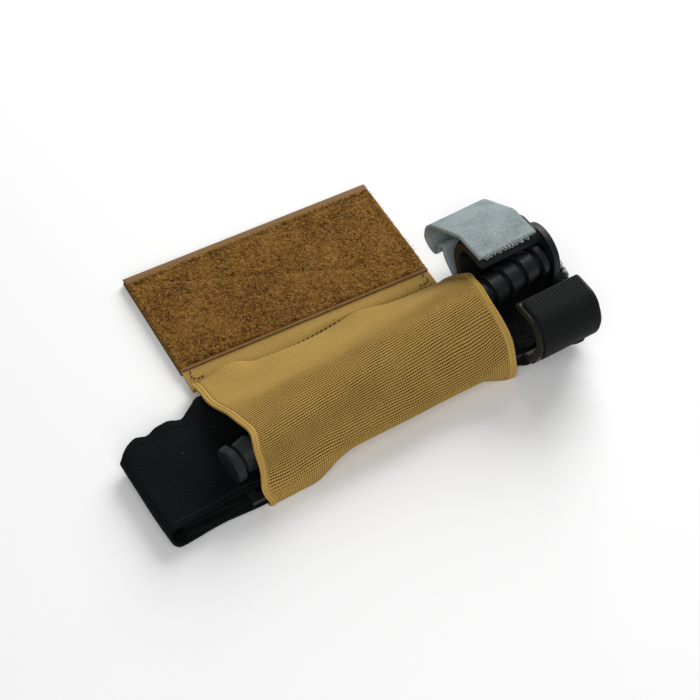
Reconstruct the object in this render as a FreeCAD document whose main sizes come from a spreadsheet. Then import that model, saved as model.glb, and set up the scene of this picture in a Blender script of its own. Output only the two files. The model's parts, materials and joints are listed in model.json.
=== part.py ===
"""A windlass tourniquet, folded for carrying, in an elastic sleeve with a hook-and-loop flap.

The frame's origin is the middle of the hook panel's gripping face, with +Z up. The tourniquet lies
along X. The holder lies almost along it, turned about Z by the sheet's holder_turn.
"""
import FreeCAD, Part
import math
import os

import Sketcher

V = FreeCAD.Vector
X_AXIS = V(1, 0, 0)
Y_AXIS = V(0, 1, 0)
Z_AXIS = V(0, 0, 1)

doc = FreeCAD.newDocument("Tourniquet")
sheet = doc.addObject("Spreadsheet::Sheet", "Sizes")

SIZES = {
    # places
    "holder_turn": -3.8,
    "tourniquet_x": 5.45,
    "tourniquet_y": -68.81,
    # flap: elastic strip between a hook panel below and a loop panel above
    "flap_left": -52.0,
    "flap_right": 50.6,
    "panel_depth": 50.0,
    "hook_thick": 1.0,
    "elastic_thick": 1.4,
    "loop_thick": 1.6,
    "seam_y": -33.5,
    "seam_gap": 1.1,
    "stitch_thick": 0.3,
    # sleeve
    "sleeve_length": 106.0,
    "sleeve_thick": 1.2,
    # band and its folded layers
    "band_width": 38.0,
    "band_y": -18.0,
    "band_thick": 1.5,
    "layer_low": 2.65,
    "layer_step": 1.9,
    "band_left": -98.0,
    "band_right": 80.0,
    "tail_joint": 30.0,
    "tail_high": 13.35,
    "tip_joint": 20.5,
    # stabilization plate
    "plate_left": -44.0,
    "plate_right": 73.0,
    "plate_low": 9.6,
    "plate_thick": 1.2,
    # windlass rod
    "rod_x": 0.0,
    "rod_y": 1.0,
    "rod_z": 19.8,
    "rod_length": 141.6,
    "rod_radius": 6.4,
    "rod_turn": 6.5,
    "rod_tilt": 3.1,
    "slot_length": 27.0,
    "slot_height": 3.0,
    # windlass clip
    "clip_left": 45.5,
    "clip_length": 26.0,
    "claw_base": 12.4,
    "clip_wall": 3.2,
    "stop_thick": 2.4,
    "stop_radius": 10.5,
    "post_radius": 2.0,
    # time strap
    "strap_left": 45.0,
    "strap_width": 24.5,
    "strap_thick": 1.3,
    "patch_thick": 0.6,
    # inner band and routing buckle
    "inner_width": 25.0,
    "inner_thick": 1.1,
    "buckle_left": -68.0,
    "buckle_length": 16.0,
    "buckle_width": 40.0,
    "buckle_thick": 1.9,
    "buckle_rail": 3.2,
}

for row, (alias, value) in enumerate(SIZES.items(), start=1):
    sheet.set(f"A{row}", alias)
    sheet.set(f"B{row}", str(value))
    sheet.setAlias(f"B{row}", alias)
doc.recompute()


def size(alias):
    """The value of one cell of the sheet."""
    return float(getattr(sheet, alias))


HOLDER = FreeCAD.Placement(V(0, 0, 0), FreeCAD.Rotation(Z_AXIS, size("holder_turn")))
TOURNIQUET = FreeCAD.Placement(V(size("tourniquet_x"), size("tourniquet_y"), 0), FreeCAD.Rotation())

sub_parts = []


def keep(item, label, place):
    """Names a sub-part and puts it in its place."""
    item.Label = label
    item.Placement = place
    sub_parts.append(item)
    return item


def new_body(label, place):
    body = doc.addObject("PartDesign::Body", label)
    return keep(body, label, place)


def plane(body, role):
    """One of the body's own origin planes, such as XZ_Plane."""
    return next(item for item in body.Origin.OriginFeatures if item.Role == role)


def new_sketch(body, name, role, offset=0.0):
    sketch = body.newObject("Sketcher::SketchObject", name)
    sketch.AttachmentSupport = [(plane(body, role), "")]
    sketch.MapMode = "FlatFace"
    sketch.AttachmentOffset = FreeCAD.Placement(V(0, 0, offset), FreeCAD.Rotation())
    return sketch


def draw_edges(sketch, edges):
    """Adds a closed run of edges, drawn in the sketch's own plane."""
    for edge in edges:
        curve = edge.Curve
        if isinstance(curve, Part.Circle):
            start, end = edge.ParameterRange
            sketch.addGeometry(Part.ArcOfCircle(curve, start, end), False)
        else:
            ends = [vertex.Point for vertex in edge.Vertexes]
            sketch.addGeometry(Part.LineSegment(ends[0], ends[-1]), False)


def draw_polygon(sketch, points):
    """A closed outline of straight sides."""
    count = len(points)
    for index, point in enumerate(points):
        following = points[(index + 1) % count]
        sketch.addGeometry(Part.LineSegment(V(*point, 0), V(*following, 0)), False)
    for index in range(count):
        sketch.addConstraint(Sketcher.Constraint("Coincident", index, 2, (index + 1) % count, 1))


def extrude(body, sketch, length, both_ways=False, name="Pad"):
    """Pads a sketch by a length that may be an expression on the sheet."""
    pad = body.newObject("PartDesign::Pad", name)
    pad.Profile = sketch
    pad.SideType = "Symmetric" if both_ways else "One side"
    if isinstance(length, str):
        pad.setExpression("Length", length)
    else:
        pad.Length = length
    sketch.Visibility = False
    body.Tip = pad
    return pad


def add_box(label, place, corner, extent):
    """A plain slab: corner and extent are sheet expressions or numbers, three of each."""
    box = doc.addObject("Part::Box", label)
    for prop, value in zip(("Length", "Width", "Height"), extent):
        box.setExpression(prop, str(value))
    shift = V(*[evaluate(value) for value in corner])
    return keep(box, label, place.multiply(FreeCAD.Placement(shift, FreeCAD.Rotation())))


def evaluate(text):
    """The value of an expression that may use the sheet's aliases."""
    return float(sheet.evalExpression(str(text)))


# ---- strips of webbing: a path, rounded at its corners, given a thickness ----

def rounded_path(points):
    """Edges through points (across, height, radius), each corner rounded by its own radius."""
    spots = [V(point[0], point[1], 0) for point in points]
    radii = [point[2] if len(point) > 2 else 0 for point in points]
    edges = []
    start = spots[0]
    for index in range(1, len(spots) - 1):
        corner = spots[index]
        back = (spots[index - 1] - corner).normalize()
        ahead = (spots[index + 1] - corner).normalize()
        half = back.getAngle(ahead) / 2
        reach = radii[index] / math.tan(half)
        bisector = (back + ahead).normalize()
        first = corner + back * reach
        last = corner + ahead * reach
        centre = corner + bisector * (radii[index] / math.sin(half))
        middle = centre - bisector * radii[index]
        if (first - start).Length > 0.01:
            edges.append(Part.LineSegment(start, first).toShape())
        edges.append(Part.Arc(first, middle, last).toShape())
        start = last
    edges.append(Part.LineSegment(start, spots[-1]).toShape())
    return edges


def strip_outline(points, low, high):
    """The closed edges of a strip lying from low to high beside a path (left of it is positive)."""
    edges = rounded_path(points)
    low_side = []
    high_side = []
    for edge in edges:
        start, end = edge.ParameterRange
        if isinstance(edge.Curve, Part.Circle):
            samples = (start, (start + end) / 2, end)
            low_side.append([offset_point(edge, at, low) for at in samples])
            high_side.append([offset_point(edge, at, high) for at in samples])
        else:
            low_side.append([offset_point(edge, at, low) for at in (start, end)])
            high_side.append([offset_point(edge, at, high) for at in (start, end)])
    outline = [join(run) for run in low_side]
    outline.append(join([low_side[-1][-1], high_side[-1][-1]]))
    outline.extend(join(run[::-1]) for run in high_side[::-1])
    outline.append(join([high_side[0][0], low_side[0][0]]))
    return outline


def offset_point(edge, at, distance):
    tangent = edge.tangentAt(at)
    left = V(-tangent.y, tangent.x, 0)
    return edge.valueAt(at) + left * distance


def join(run):
    """A straight edge through two points, or an arc through three."""
    if len(run) == 2:
        return Part.LineSegment(run[0], run[1]).toShape()
    return Part.Arc(run[0], run[1], run[2]).toShape()


def add_strip(label, place, role, points, low, high, offset, width):
    """A strip of webbing: an outline in a plane, padded across by its width."""
    body = new_body(label, place)
    sketch = new_sketch(body, label + "_outline", role, offset)
    draw_edges(sketch, strip_outline(points, low, high))
    extrude(body, sketch, width, both_ways=True)
    return body


def layer(index):
    """The height of the middle of a folded layer of band, counted up from the lowest."""
    return size("layer_low") + index * size("layer_step")


# ---- the holder ----

# Each mouth's outline, from the seam over the top and round the near side: (across, height).
LEFT_MOUTH = [(-34.6, 3.2), (-43.0, 10.6), (-60.2, 20.4), (-71.0, 24.6), (-78.5, 25.4),
              (-85.5, 21.6), (-91.0, 16.0), (-93.2, 9.0)]
RIGHT_MOUTH = [(-34.6, 3.2), (-39.2, 11.7), (-49.8, 25.0), (-58.6, 30.6), (-65.2, 31.3),
               (-73.0, 27.6), (-82.0, 20.4), (-85.6, 11.5)]


def mouth_wire(outline, near, inset):
    """A closed outline of the sleeve, drawn inset from its outer face: a curved top on a flat base."""
    top = [V(0, across, height) for across, height in outline]
    moved = []
    for index, point in enumerate(top):
        before = top[max(index - 1, 0)]
        after = top[min(index + 1, len(top) - 1)]
        along = (after - before).normalize()
        inward = V(0, -along.z, along.y)
        moved.append(point + inward * inset)
    curve = Part.BSplineCurve()
    seam_point = V(0, outline[0][0] - 2 * inset, outline[0][1] - inset / 2)
    base_far = V(0, seam_point.y, inset)
    base_near = V(0, near + inset, inset)
    curve.interpolate([seam_point] + moved[1:] + [V(0, near + inset, inset + 3)])
    return Part.Wire([
        curve.toShape(),
        Part.LineSegment(V(0, near + inset, inset + 3), base_near).toShape(),
        Part.LineSegment(base_near, base_far).toShape(),
        Part.LineSegment(base_far, seam_point).toShape(),
    ])


def loft_mouths(inset):
    """The solid between the two mouths, drawn inset from the sleeve's outer face."""
    half = size("sleeve_length") / 2
    left = mouth_wire(LEFT_MOUTH, LEFT_MOUTH[-1][0] - 0.4, inset)
    right = mouth_wire(RIGHT_MOUTH, RIGHT_MOUTH[-1][0] - 0.2, inset)
    left.translate(V(-half, 0, 0))
    right.translate(V(half, 0, 0))
    return Part.makeLoft([left, right], True, True)


def make_sleeve():
    """The elastic sleeve: a tube lofted from a low left mouth to a high right mouth."""
    sleeve = doc.addObject("Part::Feature", "holder_sleeve")
    sleeve.Shape = loft_mouths(0.0).cut(loft_mouths(size("sleeve_thick")))
    return keep(sleeve, "holder_sleeve", HOLDER)


def make_flap():
    """The flap: an elastic strip with a hook panel under it and a loop panel on it."""
    wide = "Sizes.flap_right - Sizes.flap_left"
    low = "Sizes.hook_thick"
    top = "Sizes.hook_thick + Sizes.elastic_thick"
    add_box("flap_elastic", HOLDER, ("Sizes.flap_left", "Sizes.seam_y", low),
            (wide, "Sizes.panel_depth / 2 - Sizes.seam_y", "Sizes.elastic_thick"))
    add_box("hook_panel", HOLDER, ("Sizes.flap_left", "-Sizes.panel_depth / 2", 0),
            (wide, "Sizes.panel_depth", "Sizes.hook_thick"))
    panel = doc.addObject("Part::Box", "panel_blank")
    for prop, value in (("Length", wide), ("Width", "Sizes.panel_depth"), ("Height", "Sizes.loop_thick")):
        panel.setExpression(prop, value)
    panel.Placement.Base = V(size("flap_left"), -size("panel_depth") / 2, evaluate(top))
    grooves = doc.addObject("Part::Feature", "panel_grooves")
    grooves.Shape = Part.makeCompound(bar_solids(panel_rows()))
    sewn = doc.addObject("Part::Cut", "loop_panel")
    sewn.Base = panel
    sewn.Tool = grooves
    keep(sewn, "loop_panel", HOLDER)


THREAD = 0.6
SEWN_MARGIN = 2.0


def panel_rows():
    """The loop panel's two rows of thread, sunk flush with its face: (low corner, far corner)."""
    left = size("flap_left") + SEWN_MARGIN
    right = size("flap_right") - SEWN_MARGIN
    half = size("panel_depth") / 2
    face = size("hook_thick") + size("elastic_thick") + size("loop_thick")
    sunk = face - size("stitch_thick")
    return [((left, row, sunk), (right, row + THREAD, face)) for row in (half - 4.6, 4.0 - half)]


def bar_solids(bars):
    """Thin bars, one for each row of stitches, from (low corner, far corner)."""
    solids = []
    for low, high in bars:
        span = V(*high) - V(*low)
        solids.append(Part.makeBox(span.x, span.y, span.z, V(*low)))
    return solids


def add_stitch_bars(label, place, bars):
    """One node of thin bars, one for each row of stitches."""
    node = doc.addObject("Part::Feature", label)
    node.Shape = Part.makeCompound(bar_solids(bars))
    return keep(node, label, place)


def make_holder_stitching():
    """Rows of thread: along the loop panel, the two box stitches, and the seam of the sleeve."""
    raised = size("stitch_thick")
    left = size("flap_left") + SEWN_MARGIN
    right = size("flap_right") - SEWN_MARGIN
    strip_top = size("hook_thick") + size("elastic_thick")
    add_stitch_bars("loop_panel_stitching", HOLDER, panel_rows())
    box_size = 5.0
    box_low = size("seam_y") + 3
    starts = (left, right - box_size)
    add_stitch_bars("flap_box_stitches", HOLDER, [
        ((start, box_low, strip_top), (start + box_size, box_low + box_size, strip_top + raised))
        for start in starts])
    seam_row = size("seam_y") + 0.8
    add_stitch_bars("seam_stitching", HOLDER, [
        ((left, seam_row, strip_top), (right, seam_row + THREAD, strip_top + raised))])


# ---- the band ----

def make_band():
    """The band, from the routing buckle: folded in four layers, then up and back over the clip's base."""
    middle = size("band_y") + size("band_width") / 2
    half = size("band_thick") / 2
    left = size("band_left")
    right = size("band_right")
    inner_left = left + 2 * size("layer_step")
    outer_turn = 1.5 * size("layer_step") - 0.01
    inner_turn = size("layer_step") / 2 - 0.01
    smooth = [
        (size("buckle_left") - 0.2, layer(2)),
        (inner_left, layer(2), inner_turn),
        (inner_left, layer(1), inner_turn),
        (right, layer(1), inner_turn),
        (right, layer(0), inner_turn),
        (left, layer(0), outer_turn),
        (left, layer(3), outer_turn),
        (size("tail_joint"), layer(3)),
    ]
    add_strip("self_adhering_band", TOURNIQUET, "XZ_Plane", smooth, -half, half, -middle, "Sizes.band_width")
    tail_top = size("tail_high")
    tail_turn = (tail_top - layer(3)) / 2 - 0.01
    tail_right = right + 5
    tip_joint = size("tip_joint")
    pile = [
        (size("tail_joint") + 0.1, layer(3)),
        (tail_right, layer(3), tail_turn),
        (tail_right, tail_top, tail_turn),
        (tip_joint, tail_top),
    ]
    add_strip("band_pile_tail", TOURNIQUET, "XZ_Plane", pile, -half, half, -middle, "Sizes.band_width")
    tip = [(tip_joint, tail_top), (tip_joint - 5.5, tail_top)]
    add_strip("band_tip", TOURNIQUET, "XZ_Plane", tip, -half, half, -middle, "Sizes.band_width - 6")


def make_band_stitching():
    """A row of thread near each edge of the band's top layer, where it comes out of the sleeve."""
    near = size("band_y") + 4
    far = size("band_y") + size("band_width") - 4
    low = layer(3) + size("band_thick") / 2
    raised = size("stitch_thick")
    for label, row in (("band_stitching_near", near), ("band_stitching_far", far)):
        add_stitch_bars(label, TOURNIQUET, [
            ((size("band_left") + 4, row, low), (size("buckle_left"), row + 0.6, low + raised))])


def make_inner_band():
    """The narrow band that the rod pulls: up from the plate, through the rod's slot, down again."""
    foot = size("plate_low") + size("plate_thick") + 0.5 * size("inner_thick")
    top = size("rod_z")
    reach = size("rod_radius") + 2.6
    middle = size("rod_y")
    path = [
        (middle - reach - 6, foot),
        (middle - reach, foot, 1.2),
        (middle - reach, top, 2.5),
        (middle + reach, top, 2.5),
        (middle + reach, foot, 1.2),
        (middle + reach + 6, foot),
    ]
    half = size("inner_thick") / 2
    add_strip("inner_band", TOURNIQUET, "YZ_Plane", path, -half, half, size("rod_x"), "Sizes.inner_width")


# ---- plate, clip and rod ----

def make_plate():
    """The stabilization plate under the rod and the clip, with four holes for the clip's posts."""
    body = new_body("stabilization_plate", TOURNIQUET)
    sketch = new_sketch(body, "plate_outline", "XY_Plane", size("plate_low"))
    near = size("band_y") + 1.5
    far = size("band_y") + size("band_width") - 1.5
    corner = 4.0
    left = size("plate_left")
    right = size("plate_right")
    draw_polygon(sketch, [
        (left + corner, near), (right, near), (right, far), (left + corner, far),
        (left, far - corner), (left, near + corner)])
    extrude(body, sketch, "Sizes.plate_thick", name="PlatePad")
    holes = new_sketch(body, "post_holes", "XY_Plane", size("plate_low"))
    for spot in post_spots():
        holes.addGeometry(Part.Circle(spot, Z_AXIS, size("post_radius")), False)
    cut_through(body, holes, "PlateHoles")


def post_spots():
    """The middles of the four posts that hold the clip to the plate."""
    left = size("clip_left") + 5
    right = size("clip_left") + size("clip_length") - 5
    return [V(x, y, 0) for x in (left, right) for y in (-13, 15)]


def cut_through(body, sketch, name):
    pocket = body.newObject("PartDesign::Pocket", name)
    pocket.Profile = sketch
    pocket.Type = "ThroughAll"
    pocket.Midplane = True
    sketch.Visibility = False
    doc.recompute()
    body.Tip = pocket
    return pocket


def claw_path(side):
    """One claw's middle line, from the base round its outside to the lip: (across, height, radius)."""
    return [
        (0, size("claw_base")),
        (side * 22.0, size("claw_base"), 3.0),
        (side * 26.8, 24.0, 9.0),
        (side * 22.6, 32.3, 5.0),
        (side * 12.2, 32.5, 1.7),
        (side * 11.7, 30.6),
    ]


def make_clip():
    """The windlass clip: a base, two claws with turned-down lips, and a stop that ends the rod."""
    body = new_body("windlass_clip", TOURNIQUET)
    middle = size("clip_left") + size("clip_length") / 2
    half = size("clip_wall") / 2
    for side, name in ((1, "Far"), (-1, "Near")):
        sketch = new_sketch(body, name + "_claw", "YZ_Plane", middle)
        draw_edges(sketch, strip_outline(claw_path(side), -half, half))
        extrude(body, sketch, "Sizes.clip_length", both_ways=True, name=name + "Claw")
        doc.recompute()
    stop = new_sketch(body, "Stop", "YZ_Plane", size("clip_left") + size("clip_length"))
    centre = V(11.4, 24.2, 0)
    radius = size("stop_radius")
    foot = 10.9
    draw_edges(stop, [
        Part.LineSegment(V(centre.x - radius, foot, 0), V(centre.x + radius, foot, 0)).toShape(),
        Part.LineSegment(V(centre.x + radius, foot, 0), V(centre.x + radius, centre.y, 0)).toShape(),
        Part.Arc(V(centre.x + radius, centre.y, 0), V(centre.x, centre.y + radius, 0),
                 V(centre.x - radius, centre.y, 0)).toShape(),
        Part.LineSegment(V(centre.x - radius, centre.y, 0), V(centre.x - radius, foot, 0)).toShape(),
    ])
    extrude(body, stop, "Sizes.stop_thick", name="StopPad")
    doc.recompute()
    window = new_sketch(body, "TailWindow", "YZ_Plane", size("clip_left") + size("clip_length"))
    draw_polygon(window, [(-19, 12.2), (21, 12.2), (21, 14.8), (-19, 14.8)])
    cut_through(body, window, "WindowCut")


def make_posts():
    """The four posts through the plate and the clip's base, as one group."""
    node = doc.addObject("Part::Feature", "clip_posts")
    low = size("plate_low")
    tall = size("plate_thick")
    posts = [Part.makeCylinder(size("post_radius"), tall, spot + V(0, 0, low)) for spot in post_spots()]
    node.Shape = Part.makeCompound(posts)
    return keep(node, "clip_posts", TOURNIQUET)


def make_rod():
    """The windlass rod: saw-tooth rings towards both ends, a plain middle and a slot through it."""
    place = TOURNIQUET.multiply(FreeCAD.Placement(
        V(size("rod_x"), size("rod_y"), size("rod_z")),
        FreeCAD.Rotation(size("rod_turn"), -size("rod_tilt"), 0)))
    body = new_body("windlass_rod", place)
    sketch = new_sketch(body, "rod_outline", "XY_Plane")
    draw_polygon(sketch, rod_profile())
    turned = body.newObject("PartDesign::Revolution", "Turned")
    turned.Profile = sketch
    turned.ReferenceAxis = (sketch, ["H_Axis"])
    turned.Angle = 360
    doc.recompute()
    slot = new_sketch(body, "band_slot", "XZ_Plane")
    wide = size("slot_length") / 2
    tall = size("slot_height") / 2
    draw_polygon(slot, [(-wide, -tall), (wide, -tall), (wide, tall), (-wide, tall)])
    cut_through(body, slot, "SlotCut")


def rod_profile():
    """Half of the rod's section: a thin end disc, saw-tooth rings behind it and a barrel between."""
    reach = size("rod_length") / 2
    radius = size("rod_radius")
    end_disc = 3.2
    end_radius = radius + 0.5
    ring = 7.2
    ring_count = 4
    groove = 1.6
    points = [(-reach, 0), (-reach, end_radius - 0.7), (-reach + 0.7, end_radius),
              (-reach + end_disc - 0.3, end_radius)]
    edge = -reach + end_disc
    for index in range(ring_count):
        if index:
            points.append((edge - 0.3, radius))
        points.append((edge, radius - groove))
        points.append((edge + 1.1, radius - groove))
        points.append((edge + 1.5, radius - 0.7))
        edge += ring
    points.append((edge, radius))
    points.append((edge + 6, radius - 0.4))
    mirrored = [(-x, y) for x, y in points[::-1]]
    return points + mirrored


# ---- strap, patches and buckle ----

def between(first, last, share):
    """The point part of the way from one corner of a path to the next."""
    return tuple(a + (b - a) * share for a, b in zip(first[:2], last[:2]))


def make_patches():
    """Strips of hook tape on the outside of both claws."""
    middle = size("clip_left") + size("clip_length") / 2
    outer = size("clip_wall") / 2
    for side, label in ((-1, "hook_patch_near"), (1, "hook_patch_far")):
        corners = claw_path(side)
        foot = between(corners[1], corners[2], 0.5)
        top = between(corners[3], corners[4], 0.7)
        path = [foot, corners[2], corners[3], top]
        low = -outer - size("patch_thick") if side > 0 else outer
        add_strip(label, TOURNIQUET, "YZ_Plane", path, low, low + size("patch_thick"),
                  middle, "Sizes.clip_length - 2")


def make_strap():
    """The time strap: a short anchor sewn to the clip, then a flap that lies over the far claw."""
    middle = size("strap_left") + size("strap_width") / 2
    half = size("strap_thick") / 2
    anchor = [(25.2, 11.4), (32.0, 16.0, 8.0), (35.2, 23.6, 1.6), (37.8, 13.6, 3.0), (40.2, 12.6)]
    add_strip("strap_anchor", TOURNIQUET, "YZ_Plane", anchor, -half, half, middle, "Sizes.strap_width")
    flap = [(41.2, 12.6), (45.6, 14.8, 2.6), (42.8, 23.6, 8.0), (34.2, 30.8, 6.0),
            (27.0, 35.1, 6.0), (11.4, 35.5)]
    add_strip("time_strap", TOURNIQUET, "YZ_Plane", flap, -half, half, middle, "Sizes.strap_width")


def make_buckle():
    """The routing buckle, flat between two layers of band: a frame whose slot the band runs through."""
    low = layer(2) - size("buckle_thick") / 2
    left = size("buckle_left")
    right = left + size("buckle_length")
    near = size("band_y") - 1.0
    far = near + size("buckle_width")
    rail = size("buckle_rail")
    body = new_body("routing_buckle", TOURNIQUET)
    frame = new_sketch(body, "buckle_frame", "XY_Plane", low)
    draw_polygon(frame, [(left, near), (right, near), (right, far), (left, far)])
    extrude(body, frame, "Sizes.buckle_thick", name="FramePad")
    opening = new_sketch(body, "buckle_slot", "XY_Plane", low)
    draw_polygon(opening, [(left + rail, near + rail), (right - rail, near + rail),
                           (right - rail, far - rail), (left + rail, far - rail)])
    cut_through(body, opening, "BuckleCut")


make_sleeve()
make_flap()
make_holder_stitching()
make_band()
make_band_stitching()
make_inner_band()
make_plate()
make_clip()
make_posts()
make_rod()
make_patches()
make_strap()
make_buckle()
doc.recompute()

for item in doc.Objects:
    if "Invalid" in item.State or "Error" in item.State:
        raise RuntimeError(f"{item.Label} failed: {item.State}")

os.makedirs("parts", exist_ok=True)
for item in sub_parts:
    shape = item.Shape
    if shape.isNull() or not shape.isValid() or not shape.Solids:
        raise RuntimeError(f"{item.Label} has no valid solid")
    shape.exportStep(f"parts/{item.Label}.step")
    print(f"{item.Label}: {len(shape.Solids)} solid(s), {shape.Volume:.0f} mm3")
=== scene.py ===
import json
import math
import random

import bpy
from mathutils import Matrix, Vector


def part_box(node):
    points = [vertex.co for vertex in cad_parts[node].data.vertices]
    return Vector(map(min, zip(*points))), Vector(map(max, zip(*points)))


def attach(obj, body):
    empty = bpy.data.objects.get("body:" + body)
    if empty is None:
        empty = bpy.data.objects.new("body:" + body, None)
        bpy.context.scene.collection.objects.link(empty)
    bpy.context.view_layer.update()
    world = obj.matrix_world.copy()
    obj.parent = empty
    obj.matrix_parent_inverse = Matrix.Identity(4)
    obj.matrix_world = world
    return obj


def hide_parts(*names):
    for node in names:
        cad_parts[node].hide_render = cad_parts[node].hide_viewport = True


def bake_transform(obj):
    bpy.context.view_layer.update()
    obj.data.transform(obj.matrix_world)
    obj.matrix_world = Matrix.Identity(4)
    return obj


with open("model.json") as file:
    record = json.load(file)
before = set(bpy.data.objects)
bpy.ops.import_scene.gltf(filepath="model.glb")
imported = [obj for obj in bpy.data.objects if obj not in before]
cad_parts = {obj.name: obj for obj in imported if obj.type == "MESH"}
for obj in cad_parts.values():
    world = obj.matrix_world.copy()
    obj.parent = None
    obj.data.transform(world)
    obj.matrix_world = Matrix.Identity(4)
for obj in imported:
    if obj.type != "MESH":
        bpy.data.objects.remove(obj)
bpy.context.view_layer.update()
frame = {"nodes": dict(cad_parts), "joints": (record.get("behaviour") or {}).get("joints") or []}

MM = 0.001
chance = random.Random(11)

# ---- places, from the frame ----

joints = {joint["name"]: joint for joint in frame["joints"]}
FOLD_AXIS = Vector(joints["flap_fold"]["axis"])
FOLD_POINT = Vector(joints["flap_fold"]["pos_m"])
ROD_POINT = Vector(joints["rod_swing"]["pos_m"])

HOLDER = Matrix.Rotation(math.atan2(FOLD_AXIS.y, FOLD_AXIS.x), 4, "Z")
SEAM_Y = (HOLDER.inverted() @ FOLD_POINT).y / MM
ROD_MIDDLE = 1.0
TOURNIQUET = Matrix.Translation(Vector((ROD_POINT.x, ROD_POINT.y - ROD_MIDDLE * MM, 0)))


# ---- sizes that several sections share, in mm ----

SLEEVE_HALF = 53.0      # half the sleeve's length
SLEEVE_THICK = 1.15
FLAP_LEFT = -52.0
FLAP_RIGHT = 50.6
PANEL_HALF = 25.0       # half the loop panel's depth


def holder_at(x, y, z):
    """A point given in the holder's own axes, in millimetres."""
    return HOLDER @ Vector((x * MM, y * MM, z * MM))


def tourniquet_at(x, y, z):
    """A point given from the middle of the tourniquet, in millimetres."""
    return TOURNIQUET @ Vector((x * MM, y * MM, z * MM))


def in_tourniquet(point):
    """The same place as tourniquet_at takes, from a point in metres."""
    return (TOURNIQUET.inverted() @ point) / MM


# ---- small numeric helpers ----

def mix(a, b, share):
    """The value at a share of the way from a to b."""
    return a + (b - a) * share


def smooth(low, high, value):
    """0 below low, 1 above high, and an easy curve between them."""
    share = min(max((value - low) / (high - low), 0.0), 1.0)
    return share * share * (3 - 2 * share)


def bump(value, middle, width):
    """A bell: 1 at the middle and about 0 two widths away."""
    return math.exp(-((value - middle) / width) ** 2)


def bumps(value, shapes):
    """The sum of several bells, each given as (height, middle, width)."""
    return sum(height * bump(value, middle, width) for height, middle, width in shapes)


def spread(count, low=0.0, high=1.0):
    """A number of evenly spaced values from low to high."""
    return [mix(low, high, index / (count - 1)) for index in range(count)]


def spline(points, share):
    """A smooth curve through a list of points of any size, at a share of its length by index."""
    spans = len(points) - 1
    at = min(max(share, 0.0), 1.0) * spans
    index = min(int(at), spans - 1)
    t = at - index
    p0 = points[max(index - 1, 0)]
    p1 = points[index]
    p2 = points[index + 1]
    p3 = points[min(index + 2, spans)]
    return tuple(
        0.5 * (2 * b + (c - a) * t + (2 * a - 5 * b + 4 * c - d) * t * t + (3 * b - a - 3 * c + d) * t ** 3)
        for a, b, c, d in zip(p0, p1, p2, p3))


def direction(run, index):
    """The unit direction of a run of flat points at one of them."""
    before = run[max(index - 1, 0)]
    after = run[min(index + 1, len(run) - 1)]
    return Vector((after[0] - before[0], after[1] - before[1])).normalized()


def distances(run):
    """How far each point of a run is from its start, along the run."""
    reached = [0.0]
    for first, last in zip(run, run[1:]):
        reached.append(reached[-1] + math.dist(first, last))
    return reached


# ---- mesh helpers ----

def new_piece(name, verts, faces, uvs, material, body):
    """A mesh piece with smooth faces, a UV map in millimetres, one material and the body it rides on."""
    mesh = bpy.data.meshes.new(name)
    mesh.from_pydata([tuple(v) for v in verts], [], faces)
    layer = mesh.uv_layers.new(name="cloth")
    for loop in mesh.loops:
        layer.data[loop.index].uv = uvs[loop.vertex_index]
    mesh.polygons.foreach_set("use_smooth", [True] * len(mesh.polygons))
    mesh.materials.append(material)
    mesh.update()
    piece = bpy.data.objects.new(name, mesh)
    bpy.context.scene.collection.objects.link(piece)
    if body:
        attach(piece, body)
    return piece


def shell(rows, columns, point, uv, thick):
    """Verts, faces and UVs of a sheet with a thickness, from a function over two lists of parameters.

    point(row, column) is the outer face in metres. The inner face lies thick (metres) behind it.
    """
    outer = [[point(r, c) for c in columns] for r in rows]
    height = len(rows)
    width = len(columns)
    verts = []
    uvs = []
    for i in range(height):
        for j in range(width):
            verts.append(outer[i][j])
            uvs.append(uv(rows[i], columns[j]))
    for i in range(height):
        for j in range(width):
            down = outer[min(i + 1, height - 1)][j] - outer[max(i - 1, 0)][j]
            across = outer[i][min(j + 1, width - 1)] - outer[i][max(j - 1, 0)]
            normal = down.cross(across)
            if normal.length > 0:
                normal.normalize()
            deep = thick(rows[i], columns[j]) if callable(thick) else thick
            verts.append(outer[i][j] - normal * deep)
            uvs.append(uv(rows[i], columns[j]))
    back = height * width
    faces = []
    for i in range(height - 1):
        for j in range(width - 1):
            a = i * width + j
            b = a + 1
            c = a + width + 1
            d = a + width
            faces.append((a, d, c, b))
            faces.append((back + a, back + b, back + c, back + d))
    for j in range(width - 1):
        last = (height - 1) * width + j
        faces.append((j, j + 1, back + j + 1, back + j))
        faces.append((last, back + last, back + last + 1, last + 1))
    for i in range(height - 1):
        a = i * width
        b = a + width
        faces.append((a, back + a, back + b, b))
        faces.append((a + width - 1, b + width - 1, back + b + width - 1, back + a + width - 1))
    return verts, faces, uvs


def edge_crowded(low, high, margin, fine, coarse):
    """Places from low to high, close together within a margin of each end."""
    places = spread(int(margin / fine) + 1, low, low + margin)
    middle = spread(int((high - low - 2 * margin) / coarse) + 1, low + margin, high - margin)
    return places + middle[1:-1] + spread(int(margin / fine) + 1, high - margin, high)


def tube_along(points, radius, sides=6):
    """Verts and faces of a closed tube along points, rounded in at its ends."""
    verts = []
    faces = []
    count = len(points)
    for index, point in enumerate(points):
        ahead = points[min(index + 1, count - 1)] - points[max(index - 1, 0)]
        ahead.normalize()
        side = ahead.orthogonal().normalized()
        other = ahead.cross(side)
        size = radius(index / (count - 1)) if callable(radius) else radius
        for k in range(sides):
            turn = 2 * math.pi * k / sides
            verts.append(point + (side * math.cos(turn) + other * math.sin(turn)) * size)
    for index in range(count - 1):
        for k in range(sides):
            a = index * sides + k
            b = index * sides + (k + 1) % sides
            faces.append((a, b, b + sides, a + sides))
    faces.append(tuple(range(sides))[::-1])
    faces.append(tuple(range((count - 1) * sides, count * sides)))
    return verts, faces


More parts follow.
